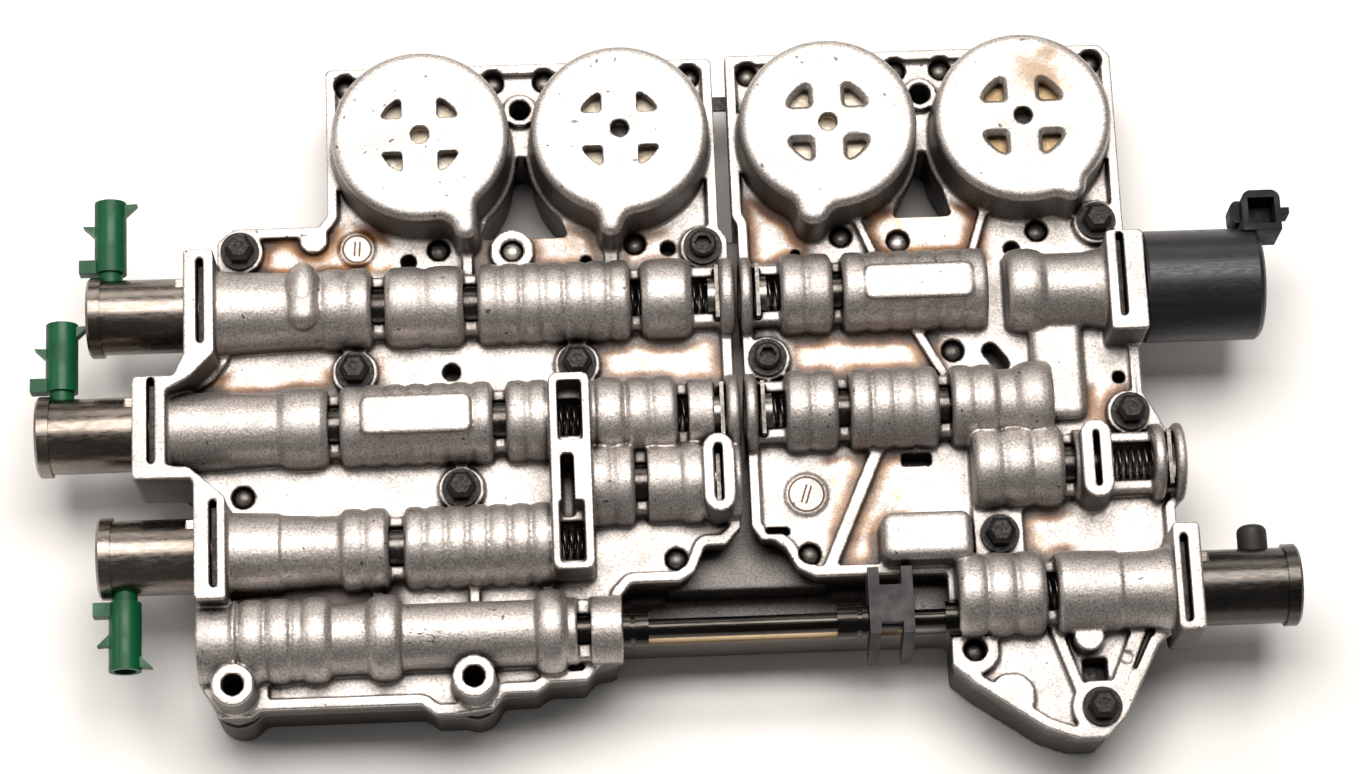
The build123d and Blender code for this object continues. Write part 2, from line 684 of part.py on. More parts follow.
right_cuts += [
    upright_slot(*right_guard, 1.8, guard_slot_length - 0.5, window_z, guard_z),
    upright_slot(*slanted_hole, 5, 10.5, mating_z, rim_z, turn=-54),
    pillar(113.5, -85.5, rim_z - 0.8, rim_z, 2.2),
    rod(row_a_y, -0.5, 76, bore_radius), rod(row_b_y, -0.5, 88, bore_radius),
    rod(row_pressure_y, 100, 113, bore_radius), rod(row_c_right_y, 75, 136, bore_radius),
    rod(row_d_right_y, 82, 124, bore_radius), rod(manual_row_y, 60, 78.5, manual_bore_radius),
]
for face_x, row_y, way, slot_x in solenoid_seats[3:]:
    right_cuts += [seat_bore(face_x, row_y, way), flange_slot(slot_x, row_y)]
for clip_x, row_y, way in plug_seats[3:]:
    right_cuts.append(clip_slot(clip_x, row_y))
with BuildPart() as right_valve_housing:
    add(deck(right_points))
    add(pocket(right_points, right_islands, right_ribs), mode=Mode.SUBTRACT)
    add(right_bodies)
    add(right_cuts, mode=Mode.SUBTRACT)
right_valve_housing.part.label = "right_valve_housing"
export_step(right_valve_housing.part, "parts/right_valve_housing.step")

# Separator plate, a thin steel sheet under both housings
with BuildSketch() as stack_outline:
    add(outline(left_points))
    add(outline(right_points))
    add(left_cap_gap, mode=Mode.SUBTRACT)
    add(right_cap_gap, mode=Mode.SUBTRACT)
with BuildPart() as separator_plate:
    with BuildSketch(Plane.XY.offset(channel_thickness)):
        add(stack_outline.sketch)
        offset(amount=-separator_setback, mode=Mode.REPLACE)
        with Locations((-3, 103.2)):
            Rectangle(8, 4.5)
        for x, y in left_screws + boss_screws + right_screws:
            with Locations((x, y)):
                Circle(screw_radius + screw_hole_clearance, mode=Mode.SUBTRACT)
        for x, y in left_bolts + right_bolts:
            with Locations((x, y)):
                Circle(bolt_radius + bolt_hole_clearance, mode=Mode.SUBTRACT)
        for x, y, radius in through_holes:
            with Locations((x, y)):
                Circle(radius, mode=Mode.SUBTRACT)
    extrude(amount=separator_thickness)
separator_plate.part.label = "separator_plate"
export_step(separator_plate.part, "parts/separator_plate.step")

# Channel plate, the lowest casting, with worm tracks open on its underside
worm_tracks = [
    [(-150, 40), (-120, 40), (-120, 20), (-96, 20)], [(-150, 5), (-128, 5), (-128, -12)],
    [(-78, 30), (-60, 30), (-60, -12), (-100, -12)], [(-40, 38), (-24, 38), (-24, 6)],
    [(-145, -45), (-118, -45), (-118, -62), (-70, -62)], [(-56, -44), (-40, -34), (-34, -12)],
    [(22, 40), (48, 40), (48, 26)], [(24, 8), (24, -14), (46, -14)], [(72, 34), (98, 34), (98, 12)],
    [(60, -14), (96, -14), (96, -36)], [(30, -30), (52, -30), (52, -46)], [(84, -62), (112, -62), (112, -84)],
]
with BuildPart() as worm_cut:
    with BuildSketch():
        for track in worm_tracks:
            with BuildLine():
                Polyline(*track)
            trace(line_width=6)
    extrude(amount=worm_depth)
with BuildPart() as channel_plate:
    with BuildSketch():
        add(stack_outline.sketch)
        offset(amount=-channel_setback, mode=Mode.REPLACE)
        Polygon(*channel_bridge, align=None)
        with Locations(((bay_x[0] + bay_x[1]) / 2, (bay_back_y + bay_front_y) / 2)):
            Rectangle(bay_x[1] - bay_x[0] + 4, bay_back_y - bay_front_y)
        with Locations((tube_boss_left_x, tube_boss_y), (tube_boss_right_x, tube_boss_y)):
            Circle(tube_foot_radius)
    extrude(amount=channel_thickness)
    trough = block(
        trough_x, (bay_front_y + bay_wall, bay_back_y), (bay_floor_thickness, channel_thickness), 2,
    )
    add(trough, mode=Mode.SUBTRACT)
    with BuildSketch():
        for x, y, radius in through_holes:
            with Locations((x, y)):
                Circle(radius)
        for x, y in left_screws + boss_screws + right_screws:
            with Locations((x, y)):
                Circle(screw_radius + screw_hole_clearance)
    extrude(amount=channel_thickness, mode=Mode.SUBTRACT)
    with BuildSketch(Plane.XY.offset(bolt_tip_height - 0.5)):
        for x, y in left_bolts + right_bolts:
            with Locations((x, y)):
                Circle(bolt_radius + bolt_hole_clearance)
    extrude(amount=channel_thickness, mode=Mode.SUBTRACT)
    with BuildSketch():
        for x, y in left_screws + boss_screws + right_screws:
            with Locations((x, y)):
                Circle(screw_recess_radius)
    extrude(amount=screw_recess_depth, mode=Mode.SUBTRACT)
    add(worm_cut.part, mode=Mode.SUBTRACT)
channel_plate.part.label = "channel_plate"
export_step(channel_plate.part, "parts/channel_plate.step")

# Ten mounting bolts: eight with hexagon heads on a flange, two with a socket in a round head
with BuildPart() as bolt_stem:
    add(pillar(0, 0, bolt_tip_height, rim_z, bolt_radius))
    add(pillar(0, 0, rim_z, rim_z + bolt_flange_thickness, bolt_head_radius))
with BuildPart() as hexagon_bolt:
    add(bolt_stem.part)
    with BuildSketch(Plane.XY.offset(rim_z + bolt_flange_thickness)):
        RegularPolygon(bolt_flats / 2, 6, major_radius=False)
    extrude(amount=bolt_head_height - bolt_flange_thickness)
    chamfer(hexagon_bolt.edges().group_by(Axis.Z)[-1], bolt_crown)
    with Locations((0, 0, rim_z + bolt_head_height)):
        Cylinder(bolt_dimple_radius, 0.6, mode=Mode.SUBTRACT)
with BuildPart() as socket_bolt:
    add(bolt_stem.part)
    with BuildSketch(Plane.XY.offset(rim_z + bolt_flange_thickness)):
        Circle(socket_head_radius)
        RegularPolygon(socket_reach, 6, mode=Mode.SUBTRACT)
    extrude(amount=socket_head_height - bolt_flange_thickness)
    chamfer(socket_bolt.edges().filter_by(GeomType.CIRCLE).group_by(Axis.Z)[-1], 0.7)
with BuildPart() as mounting_bolts:
    with Locations(*[site for site in left_bolts + right_bolts if site not in socket_bolts]):
        add(hexagon_bolt.part)
    with Locations(*socket_bolts):
        add(socket_bolt.part)
mounting_bolts.part.label = "mounting_bolts"
export_step(mounting_bolts.part, "parts/mounting_bolts.step")

# Screws that hold the stack together from below, hexagon heads in the channel plate
def assembly_screw(end_z):
    """One screw whose shank ends at a height in its housing."""
    with BuildPart() as screw:
        with BuildSketch(Plane.XY.offset(screw_recess_depth)):
            Circle(screw_radius)
        extrude(amount=end_z - screw_recess_depth)
        chamfer(screw.edges().group_by(Axis.Z)[-1], screw_end_chamfer)
        with BuildSketch(Plane.XY.offset(screw_recess_depth - screw_head_height)):
            RegularPolygon(screw_head_flats / 2, 6, major_radius=False)
        extrude(amount=screw_head_height)
    return screw.part


with BuildPart() as assembly_screws:
    with Locations(*left_screws, *right_screws):
        add(assembly_screw(floor_z - screw_end_drop))
    with Locations(*boss_screws):
        add(assembly_screw(rim_z - boss_screw_drop))
assembly_screws.part.label = "assembly_screws"
export_step(assembly_screws.part, "parts/assembly_screws.step")

# Solenoids: nose, snout with its groove, can and rim, from the inside out
connector_sites = [(-195.2, 1, 37.4), (-210.2, 1, 35.9), (-190.8, -1, 35.3), (154.6, 1, 19.0)]
for number, (seat, length, site) in enumerate(zip(solenoid_seats, can_lengths, connector_sites), 1):
    face_x, row_y, way, slot_x = seat
    connector_x, side, reach = site
    groove = retainer_thickness / 2 + 0.15
    stations = [
        (face_x - way * (snout_length + nose_length), bore_radius - nose_clearance),
        (face_x - way * snout_length, bore_radius - nose_clearance),
        (face_x - way * snout_length, snout_bore_radius - snout_clearance),
        (slot_x - way * groove, snout_bore_radius - snout_clearance),
        (slot_x - way * groove, snout_bore_radius - snout_groove_depth),
        (slot_x + way * groove, snout_bore_radius - snout_groove_depth),
        (slot_x + way * groove, snout_bore_radius - snout_clearance),
        (face_x + way * can_face_gap, snout_bore_radius - snout_clearance),
        (face_x + way * can_face_gap, can_radius),
        (face_x + way * (length - can_rim_length), can_radius),
        (face_x + way * (length - can_rim_length), can_rim_radius),
        (face_x + way * (length - 0.8), can_rim_radius), (face_x + way * length, can_rim_radius - 0.8),
    ]
    neck_seat = row_y + side * (can_radius - 1.6)
    with BuildPart() as solenoid_can:
        add(turned(row_y, stations))
        with BuildSketch(Plane.XZ.offset(-neck_seat)):
            with Locations((connector_x, bore_z)):
                Circle(connector_neck_radius + (0.8 if number == 4 else 0) + connector_seat_gap)
        extrude(amount=-side * can_radius, mode=Mode.SUBTRACT)
        with Locations((face_x + way * 1.5, row_y + 0.72 * can_radius, bore_z + 0.72 * can_radius)):
            Box(3, 4.4, 4.4, mode=Mode.SUBTRACT)
    solenoid_can.part.label = f"solenoid_can_{number}"
    export_step(solenoid_can.part, f"parts/solenoid_can_{number}.step")
    with BuildPart() as connector:
        with BuildSketch(Plane.XZ.offset(-neck_seat)):
            with Locations((connector_x, bore_z)):
                Circle(connector_neck_radius + (0.8 if number == 4 else 0))
        extrude(amount=-side * (reach - can_radius + 1.6))
        if number == 4:
            fillet(connector.edges().sort_by(Axis.Y)[-1], 2.2)
        else:
            body_y = row_y + side * (can_radius + connector_neck_length)
            with BuildSketch(Plane.XZ.offset(-body_y)):
                with Locations((connector_x, bore_z)):
                    Circle(connector_radius)
            extrude(amount=-side * (reach - can_radius - connector_neck_length))
            with Locations((connector_x - connector_radius - 1.6, body_y + side * 2.1, bore_z)):
                Box(6, 4.2, 5)
            with BuildSketch(Plane.XY.offset(bore_z - 2)):
                for wedge_side, wedge_y in ((-1, reach - 9.2), (1, reach - 2.2)):
                    root_x = connector_x + wedge_side * (connector_radius - 0.6)
                    middle_y = row_y + side * wedge_y
                    with BuildLine():
                        Polyline(
                            (root_x, middle_y - side * 2.4), (root_x, middle_y + side * 1.2),
                            (root_x + wedge_side * 4, middle_y + side * 1.4), close=True,
                        )
                    make_face()
            extrude(amount=4)
            with BuildSketch(Plane.XZ.offset(-(row_y + side * reach))):
                with Locations((connector_x, bore_z)):
                    Circle(connector_socket_radius)
            extrude(amount=side * connector_socket_depth, mode=Mode.SUBTRACT)
    connector.part.label = f"solenoid_connector_{number}"
    export_step(connector.part, f"parts/solenoid_connector_{number}.step")

# Pressure solenoid, larger, with its connector socket facing up
face_x, row_y, way, slot_x = solenoid_seats[4]
groove = retainer_thickness / 2 + 0.15
socket_x = face_x + pressure_can_length
pressure_stations = [
    (face_x - snout_length - nose_length, bore_radius - nose_clearance),
    (face_x - snout_length, bore_radius - nose_clearance),
    (face_x - snout_length, snout_bore_radius - snout_clearance),
    (slot_x - groove, snout_bore_radius - snout_clearance),
    (slot_x - groove, snout_bore_radius - snout_groove_depth),
    (slot_x + groove, snout_bore_radius - snout_groove_depth),
    (slot_x + groove, snout_bore_radius - snout_clearance),
    (face_x + can_face_gap, snout_bore_radius - snout_clearance),
    (face_x + can_face_gap, pressure_can_radius - 0.5), (face_x + 1, pressure_can_radius),
    (socket_x - pressure_can_edge, pressure_can_radius),
    (socket_x - 0.4 * pressure_can_edge, pressure_can_radius - 0.4 * pressure_can_edge),
    (socket_x, pressure_can_radius - pressure_can_edge),
]
socket_y = row_y + pressure_can_radius - 3.6
socket_top_z = bore_z + 12
with BuildPart() as pressure_solenoid_can:
    add(turned(row_y, pressure_stations))
    with Locations((socket_x + 1, socket_y - connector_seat_gap, bore_z + 4)):
        Box(14, 20, 17, align=(Align.CENTER, Align.MIN, Align.CENTER), mode=Mode.SUBTRACT)
pressure_solenoid_can.part.label = "pressure_solenoid_can"
export_step(pressure_solenoid_can.part, "parts/pressure_solenoid_can.step")
with BuildPart() as pressure_solenoid_connector:
    with Locations((socket_x + 1, socket_y, bore_z + 4)):
        Box(12, 13, 16, align=(Align.CENTER, Align.MIN, Align.CENTER))
    fillet(pressure_solenoid_connector.edges().filter_by(Axis.Z).group_by(Axis.Y)[-1], 3)
    with Locations((socket_x + 1, socket_y + 2, socket_top_z)):
        Box(8.4, 8.6, 10, align=(Align.CENTER, Align.MIN, Align.MAX), mode=Mode.SUBTRACT)
    with Locations((socket_x + 7, socket_y + 6, bore_z + 4)):
        Box(2.6, 2.0, 8, align=(Align.MIN, Align.CENTER, Align.MIN))
    with BuildSketch(Plane.XY.offset(bore_z - 3)):
        with Locations((socket_x - 5.6, socket_y + 8)):
            SlotOverall(7.2, 4.4, rotation=90)
    extrude(amount=9)
pressure_solenoid_connector.part.label = "pressure_solenoid_connector"
export_step(pressure_solenoid_connector.part, "parts/pressure_solenoid_connector.step")

# Retainer plates, one in each flange, astride the groove of a snout
snout_groove_radius = snout_bore_radius - snout_groove_depth
with BuildPart() as solenoid_retainers:
    for face_x, row_y, way, slot_x in solenoid_seats:
        with BuildSketch(Plane.YZ.offset(slot_x - retainer_thickness / 2)):
            with Locations((row_y, slot_floor_z + retainer_height / 2)):
                Rectangle(flange_slot_length - 2 * retainer_end_clearance - 2.2, retainer_height)
            with Locations((row_y, bore_z)):
                Circle(snout_groove_radius + 0.3, mode=Mode.SUBTRACT)
            with Locations((row_y, slot_floor_z)):
                Rectangle(2 * snout_groove_radius + 0.6, 2 * (bore_z - slot_floor_z), mode=Mode.SUBTRACT)
        extrude(amount=retainer_thickness)
solenoid_retainers.part.label = "solenoid_retainers"
export_step(solenoid_retainers.part, "parts/solenoid_retainers.step")

# Bore plugs and the clips that keep them in
clip_gap = clip_thickness / 2
with BuildPart() as bore_plugs:
    for clip_x, row_y, way in plug_seats:
        first_x, last_x = sorted((clip_x + way * clip_gap, clip_x + way * (clip_gap + plug_thickness)))
        add(rod(row_y, first_x, last_x, bore_radius - spool_clearance))
bore_plugs.part.label = "bore_plugs"
export_step(bore_plugs.part, "parts/bore_plugs.step")
with BuildPart() as plug_clips:
    for clip_x, row_y, way in plug_seats:
        across = guard_slot_length - 2.6 if row_y == row_b_short_y else clip_width
        across_y = row_y - 0.7 if row_y == row_b_short_y else row_y
        with Locations((clip_x, across_y, clip_floor_z)):
            Box(clip_thickness, across, 2 * clip_rise, align=(Align.CENTER, Align.CENTER, Align.MIN))
plug_clips.part.label = "plug_clips"
export_step(plug_clips.part, "parts/plug_clips.step")

# Spools and their springs: name, row, spool from and to, lands, spring from and to
plug_face = clip_gap + plug_thickness
valve_train = [
    ("a_left", row_a_y, -151.2, -34, 4, -34, plug_seats[0][0] - plug_face),
    ("b_left", row_b_y, -166.9, -66, 4, -66, spring_stop_x),
    ("b_centre", row_b_y, -44, -24, 2, -24, plug_seats[1][0] - plug_face),
    ("b_short", row_b_short_y, -41, -30.6, 2, -30.6, plug_seats[2][0] - plug_face),
    ("c_left", row_c_y, -148.3, -66, 3, -66, spring_stop_x),
    ("a_right", row_a_y, 29, 73, 3, plug_seats[3][0] + plug_face, 29),
    ("b_right", row_b_y, 29, 85, 3, plug_seats[4][0] + plug_face, 29),
    ("c_right", row_c_right_y, 78, 108, 2, 108, plug_seats[5][0] - plug_face),
    ("d_right", row_d_right_y, 95, 116.2, 2, 82, 95),
]
land_radius = bore_radius - spool_clearance
for name, row_y, start_x, end_x, lands, spring_start, spring_end in valve_train:
    pitch = (end_x - start_x) / (lands - 0.4)
    stations = []
    for land in range(lands):
        land_x = start_x + land * pitch
        stations += [(land_x, land_radius), (land_x + 0.6 * pitch, land_radius)]
        if land < lands - 1:
            stations += [(land_x + 0.6 * pitch, valve_neck_radius), (land_x + pitch, valve_neck_radius)]
    spool = turned(row_y, stations)
    spool.label = f"spool_{name}"
    export_step(spool, f"parts/spool_{name}.step")
    spring = tube(row_y, spring_start, spring_end, valve_spring_radius, valve_spring_wire)
    spring.label = f"spring_{name}"
    export_step(spring, f"parts/spring_{name}.step")

# Manual valve, a long rod that reaches from the left housing into the right one
groove_radius = manual_land_radius - manual_groove_depth
with BuildPart() as manual_valve:
    add(turned(manual_row_y, [
        (-120, manual_land_radius), (-104, manual_land_radius), (-104, manual_rod_radius),
        (-66, manual_rod_radius), (-66, manual_land_radius), (-37.5, manual_land_radius),
        (-37.5, groove_radius), (-36, groove_radius), (-36, manual_land_radius),
        (-32, manual_land_radius), (-32, manual_rod_radius), (25.5, manual_rod_radius),
        (25.5, manual_land_radius), (31.5, manual_land_radius), (31.5, groove_radius),
        (33, groove_radius), (33, manual_land_radius), (34.8, manual_land_radius),
        (34.8, manual_rod_radius), (58.5, manual_rod_radius), (58.5, manual_land_radius),
        (69.5, manual_land_radius),
    ]))
manual_valve.part.label = "manual_valve"
export_step(manual_valve.part, "parts/manual_valve.step")

# Selector fork, which straddles the neck of the manual valve
fork_x = (35.2, 48.8)
with BuildPart() as selector_fork:
    with BuildSketch(Plane.YZ.offset(fork_x[0])):
        with BuildLine():
            Polyline(
                (-57.4, bore_z - 3), (-57.4, bore_z), (-56.4, bore_z + fork_top_rise),
                (-77, bore_z + fork_top_rise), (-82.3, bore_z - 14), (-79, bore_z - 14),
                (-75, bore_z - 6), (-60, bore_z - 4), close=True,
            )
        make_face()
    extrude(amount=fork_x[1] - fork_x[0])
    with Locations(((fork_x[0] + fork_x[1]) / 2, -70, bore_z + fork_top_rise - 3)):
        Box(fork_x[1] - fork_x[0] - 2 * fork_wall, 60, 40,
            align=(Align.CENTER, Align.CENTER, Align.MAX), mode=Mode.SUBTRACT)
    with Locations((42, -55, bore_z)):
        Box(fork_x[1] - fork_x[0] - 2 * fork_wall, 14, 40, mode=Mode.SUBTRACT)
    with Locations((42, -82.5, bore_z)):
        Box(fork_x[1] - fork_x[0] - 2 * fork_wall, 18, 40, mode=Mode.SUBTRACT)
    with BuildSketch(Plane.YZ.offset(fork_x[0])):
        with Locations((manual_row_y, bore_z)):
            Circle(manual_rod_radius + fork_clearance)
        with Locations((manual_row_y, bore_z - 10)):
            Rectangle(2 * (manual_rod_radius + fork_clearance), 20)
    extrude(amount=fork_x[1] - fork_x[0], mode=Mode.SUBTRACT)
selector_fork.part.label = "selector_fork"
export_step(selector_fork.part, "parts/selector_fork.step")

# Accumulator pistons, open below, each standing on its spring
crown_z = mating_z + piston_crown_rise
for number, (cap_centre, spout_x, spout_y, spout_width, bevelled) in enumerate(accumulators, 1):
    skirt_x = cap_centre[0] + cap_bore_radius - piston_clearance
    stop_x = cap_centre[0] + cap_hole_radius + 0.5
    with BuildPart() as accumulator_piston:
        with BuildSketch(Plane.XZ.offset(-cap_centre[1])):
            with BuildLine():
                Polyline(
                    (cap_centre[0], crown_z), (stop_x, crown_z), (stop_x, roof_z),
                    (stop_x + piston_stop_wall, roof_z), (stop_x + piston_stop_wall, crown_z),
                    (skirt_x, crown_z), (skirt_x, crown_z - piston_length),
                    (skirt_x - piston_wall, crown_z - piston_length),
                    (skirt_x - piston_wall, crown_z - piston_crown),
                    (cap_centre[0], crown_z - piston_crown), close=True,
                )
            make_face()
        revolve(axis=Axis((cap_centre[0], cap_centre[1], 0), (0, 0, 1)))
    accumulator_piston.part.label = f"accumulator_piston_{number}"
    export_step(accumulator_piston.part, f"parts/accumulator_piston_{number}.step")
    with BuildPart() as accumulator_spring:
        with BuildSketch(Plane.XY.offset(mating_z)):
            with Locations(cap_centre):
                Circle(accumulator_spring_radius)
                Circle(accumulator_spring_radius - accumulator_spring_wire, mode=Mode.SUBTRACT)
        extrude(amount=piston_crown_rise - piston_crown)
    accumulator_spring.part.label = f"accumulator_spring_{number}"
    export_step(accumulator_spring.part, f"parts/accumulator_spring_{number}.step")
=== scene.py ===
"""Looks for the transmission valve body: die-cast skins, wound springs, worn steel and stains."""
import bpy
import json
from math import cos, pi, sin
from mathutils import Matrix, Vector


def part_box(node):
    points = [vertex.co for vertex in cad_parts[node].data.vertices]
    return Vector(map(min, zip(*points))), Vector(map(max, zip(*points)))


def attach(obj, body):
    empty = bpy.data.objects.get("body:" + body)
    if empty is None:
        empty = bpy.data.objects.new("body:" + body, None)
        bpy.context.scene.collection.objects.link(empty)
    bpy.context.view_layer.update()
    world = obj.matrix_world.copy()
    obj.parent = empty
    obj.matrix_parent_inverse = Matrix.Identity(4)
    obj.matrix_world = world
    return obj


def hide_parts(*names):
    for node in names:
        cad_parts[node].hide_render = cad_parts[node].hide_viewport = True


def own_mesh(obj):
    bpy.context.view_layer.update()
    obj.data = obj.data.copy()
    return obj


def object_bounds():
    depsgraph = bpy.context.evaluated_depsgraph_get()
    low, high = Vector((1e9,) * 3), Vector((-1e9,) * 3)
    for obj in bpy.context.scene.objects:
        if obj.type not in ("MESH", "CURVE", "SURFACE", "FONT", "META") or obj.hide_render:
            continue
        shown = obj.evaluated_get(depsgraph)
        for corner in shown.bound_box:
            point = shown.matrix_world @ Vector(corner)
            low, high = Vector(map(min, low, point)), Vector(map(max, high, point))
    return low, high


MM = 0.001
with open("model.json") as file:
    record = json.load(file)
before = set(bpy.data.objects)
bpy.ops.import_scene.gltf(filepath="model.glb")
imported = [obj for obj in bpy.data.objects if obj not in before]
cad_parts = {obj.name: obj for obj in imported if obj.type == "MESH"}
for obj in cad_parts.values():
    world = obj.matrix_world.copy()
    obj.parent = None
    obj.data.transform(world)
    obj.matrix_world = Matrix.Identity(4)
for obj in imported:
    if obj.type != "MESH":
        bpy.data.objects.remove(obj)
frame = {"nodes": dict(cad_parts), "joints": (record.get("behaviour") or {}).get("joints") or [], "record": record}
nodes = frame["nodes"]
low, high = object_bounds()

# Heights that the looks refer to, in metres: the housings' lower face, their pocket floors, the
# rims round the pockets and the line of the bores
MATING_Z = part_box("left_valve_housing")[0].z
FLOOR_Z = MATING_Z + 9.5 * MM
RIM_Z = FLOOR_Z + 3.0 * MM
BORE_Z = MATING_Z + 13.5 * MM


# Shader parts

# The colour sockets of a Mix node, which share their names with its other sockets
MIX_FIRST, MIX_SECOND, MIX_RESULT = 6, 7, 2
OCCLUSION_SAMPLES = 8
MASK_FADE = 2.5 * MM

materials = {}


def shader(name, color, metallic, roughness, shine=0.5):
    """Makes a material, keeps it under its name, and gives its node tree and Principled shader."""
    material = bpy.data.materials.new(name)
    materials[name] = material
    material.use_nodes = True
    principled = material.node_tree.nodes["Principled BSDF"]
    principled.inputs["Base Color"].default_value = (*color, 1)
    principled.inputs["Metallic"].default_value = metallic
    principled.inputs["Roughness"].default_value = roughness
    principled.inputs["Specular IOR Level"].default_value = shine
    return material.node_tree, principled


def scaled(color, factor):
    """A colour made darker or lighter."""
    return tuple(value * factor for value in color)


def noise(tree, scale, detail=3.0, roughness=0.5, stretch=(1, 1, 1)):
    """Noise in the part's own space, its pattern stretched where asked, and its factor output."""
    place = tree.nodes.new("ShaderNodeTexCoord")
    mapping = tree.nodes.new("ShaderNodeMapping")
    mapping.inputs["Scale"].default_value = stretch
    texture = tree.nodes.new("ShaderNodeTexNoise")
    texture.inputs["Scale"].default_value = scale
    texture.inputs["Detail"].default_value = detail
    texture.inputs["Roughness"].default_value = roughness
    tree.links.new(place.outputs["Object"], mapping.inputs["Vector"])
    tree.links.new(mapping.outputs["Vector"], texture.inputs["Vector"])
    return texture.outputs["Fac"]


def remap(tree, value, from_low, from_high, to_low=0.0, to_high=1.0, smooth=True):
    """A value mapped from one range to another, clamped."""
    node = tree.nodes.new("ShaderNodeMapRange")
    node.interpolation_type = "SMOOTHSTEP" if smooth else "LINEAR"
    ends = {"From Min": from_low, "From Max": from_high, "To Min": to_low, "To Max": to_high}
    for socket, number in ends.items():
        node.inputs[socket].default_value = number
    tree.links.new(value, node.inputs["Value"])
    return node.outputs["Result"]


def combine(tree, operation, first, second):
    """Two values joined by a math operation; either may be a plain number."""
    node = tree.nodes.new("ShaderNodeMath")
    node.operation = operation
    for socket, value in zip(node.inputs, (first, second)):
        if isinstance(value, (int, float)):
            socket.default_value = value
        else:
            tree.links.new(value, socket)
    return node.outputs["Value"]


def join(tree, operation, values):
    """A row of values joined by one math operation."""
    result = values[0]
    for value in values[1:]:
        result = combine(tree, operation, result, value)
    return result


def blend_color(tree, factor, first, second):
    """One colour mixed into another by a factor; a tuple is a plain colour."""
    node = tree.nodes.new("ShaderNodeMix")
    node.data_type = "RGBA"
    tree.links.new(factor, node.inputs["Factor"])
    for socket, value in ((node.inputs[MIX_FIRST], first), (node.inputs[MIX_SECOND], second)):
        if isinstance(value, tuple):
            socket.default_value = (*value, 1)
        else:
            tree.links.new(value, socket)
    return node.outputs[MIX_RESULT]


def ramp(tree, value, stops):
    """A colour for each stretch of a value, from a list of positions and colours."""
    node = tree.nodes.new("ShaderNodeValToRGB")
    elements = node.color_ramp.elements
    for element, (position, color) in zip(elements, (stops[0], stops[-1])):
        element.position = position
        element.color = (*color, 1)
    for position, color in stops[1:-1]:
        element = elements.new(position)
        element.color = (*color, 1)
    tree.links.new(value, node.inputs["Fac"])
    return node.outputs["Color"]


def bump(tree, principled, height, strength, distance):
    """Small relief from a height value."""
    node = tree.nodes.new("ShaderNodeBump")
    node.inputs["Strength"].default_value = strength
    node.inputs["Distance"].default_value = distance
    tree.links.new(height, node.inputs["Height"])
    tree.links.new(node.outputs["Normal"], principled.inputs["Normal"])


def split_axes(tree, coordinate):
    """X, Y and Z of the shaded point or of its normal, in the part's own space."""
    place = tree.nodes.new("ShaderNodeTexCoord")
    split = tree.nodes.new("ShaderNodeSeparateXYZ")
    tree.links.new(place.outputs[coordinate], split.inputs["Vector"])
    return split.outputs["X"], split.outputs["Y"], split.outputs["Z"]


def facing_up(tree):
    """How far the surface faces up in the part's own space, from -1 to 1."""
    return split_axes(tree, "Normal")[2]


def occlusion(tree, distance):
    """How open the surface is: 1 in the open, lower in corners and crevices."""
    node = tree.nodes.new("ShaderNodeAmbientOcclusion")
    node.inputs["Distance"].default_value = distance
    node.samples = OCCLUSION_SAMPLES
    return node.outputs["AO"]


def box_mask(tree, axes, area, fade=MASK_FADE):
    """1 inside an upright box of x and y ranges in mm, fading to 0 at its edges."""
    x0, x1, y0, y1 = (value * MM for value in area)
    edges = (
        (axes[0], x0 - fade, x0 + fade), (axes[0], x1 + fade, x1 - fade),
        (axes[1], y0 - fade, y0 + fade), (axes[1], y1 + fade, y1 - fade),
    )
    return join(tree, "MULTIPLY", [remap(tree, axis, off, on) for axis, off, on in edges])


# Die castings, with areas as x and y ranges in mm

# Pocket floors with brown varnish, and how strong the stain is there
STAINS = [
    ((-153, -108, 46, 63), 1.0), ((-174, -126, 7, 16), 0.9), ((-86, -42, 44, 60), 0.8),
    ((-46, -3, 5, 22), 0.75), ((2, 24, 44, 68), 0.95), ((40, 80, 43, 64), 1.0),
    ((16, 64, 5, 22), 0.85), ((24, 50, -56, -17), 0.8), ((84, 100, -56, -36), 0.8),
    ((106, 122, -14, 3), 0.9), ((-146, -106, -62, -52), 0.9), ((-126, -110, 2, 20), 0.6),
    ((-36, -20, 44, 58), 0.7),
]
# The varnish's colour by how open its place is, from the corners out
VARNISH = [
    (0.62, (0.010, 0.004, 0.002)), (0.74, (0.040, 0.012, 0.003)), (0.83, (0.14, 0.045, 0.008)),
    (0.90, (0.27, 0.115, 0.020)), (0.96, (0.48, 0.32, 0.13)),
]
STAIN_REACH = 5 * MM

# The smear on the last cap and the scuffs on the front barrel, and the heights above which they lie
CAP_SMEAR, SMEAR_FADE, SMEAR_Z = (90, 112, 92, 110), 5 * MM, 42 * MM
SMEAR_COLOR = (0.27, 0.19, 0.12)
SCUFFS, SCUFF_Z = (-107, -95, -77, -70), 38 * MM
SCUFF_COLOR = (0.03, 0.027, 0.025)
HEIGHT_FADE = 2 * MM

# Blank date wheels: centre, radius of the ring and tilt of the bar, in mm and radians
WHEELS = [((-118.5, 54.5), 4.4, 1.5), ((18.5, -30.0), 5.4, 1.25)]
WHEEL_COLOR = (0.07, 0.045, 0.03)
BAR_HALF_WIDTH = 0.75 * MM
LINE_CORE, RING_EDGE, BAR_EDGE = 0.15 * MM, 0.55 * MM, 0.5 * MM

CASTING_METALLIC = 0.92
STAINED_METALLIC = 0.3
SPECK_COLOR = (0.05, 0.04, 0.035)
# Painted shade in corners and crevices, tinted brown like grime: its reach and colour
SHADE_AND_GRIME_REACH, SHADE_AND_GRIME_COLOR = 4.5 * MM, (0.022, 0.015, 0.011)
# Painted shade on faces turned sideways or down
SIDE_SHADE_COLOR = (0.035, 0.028, 0.024)


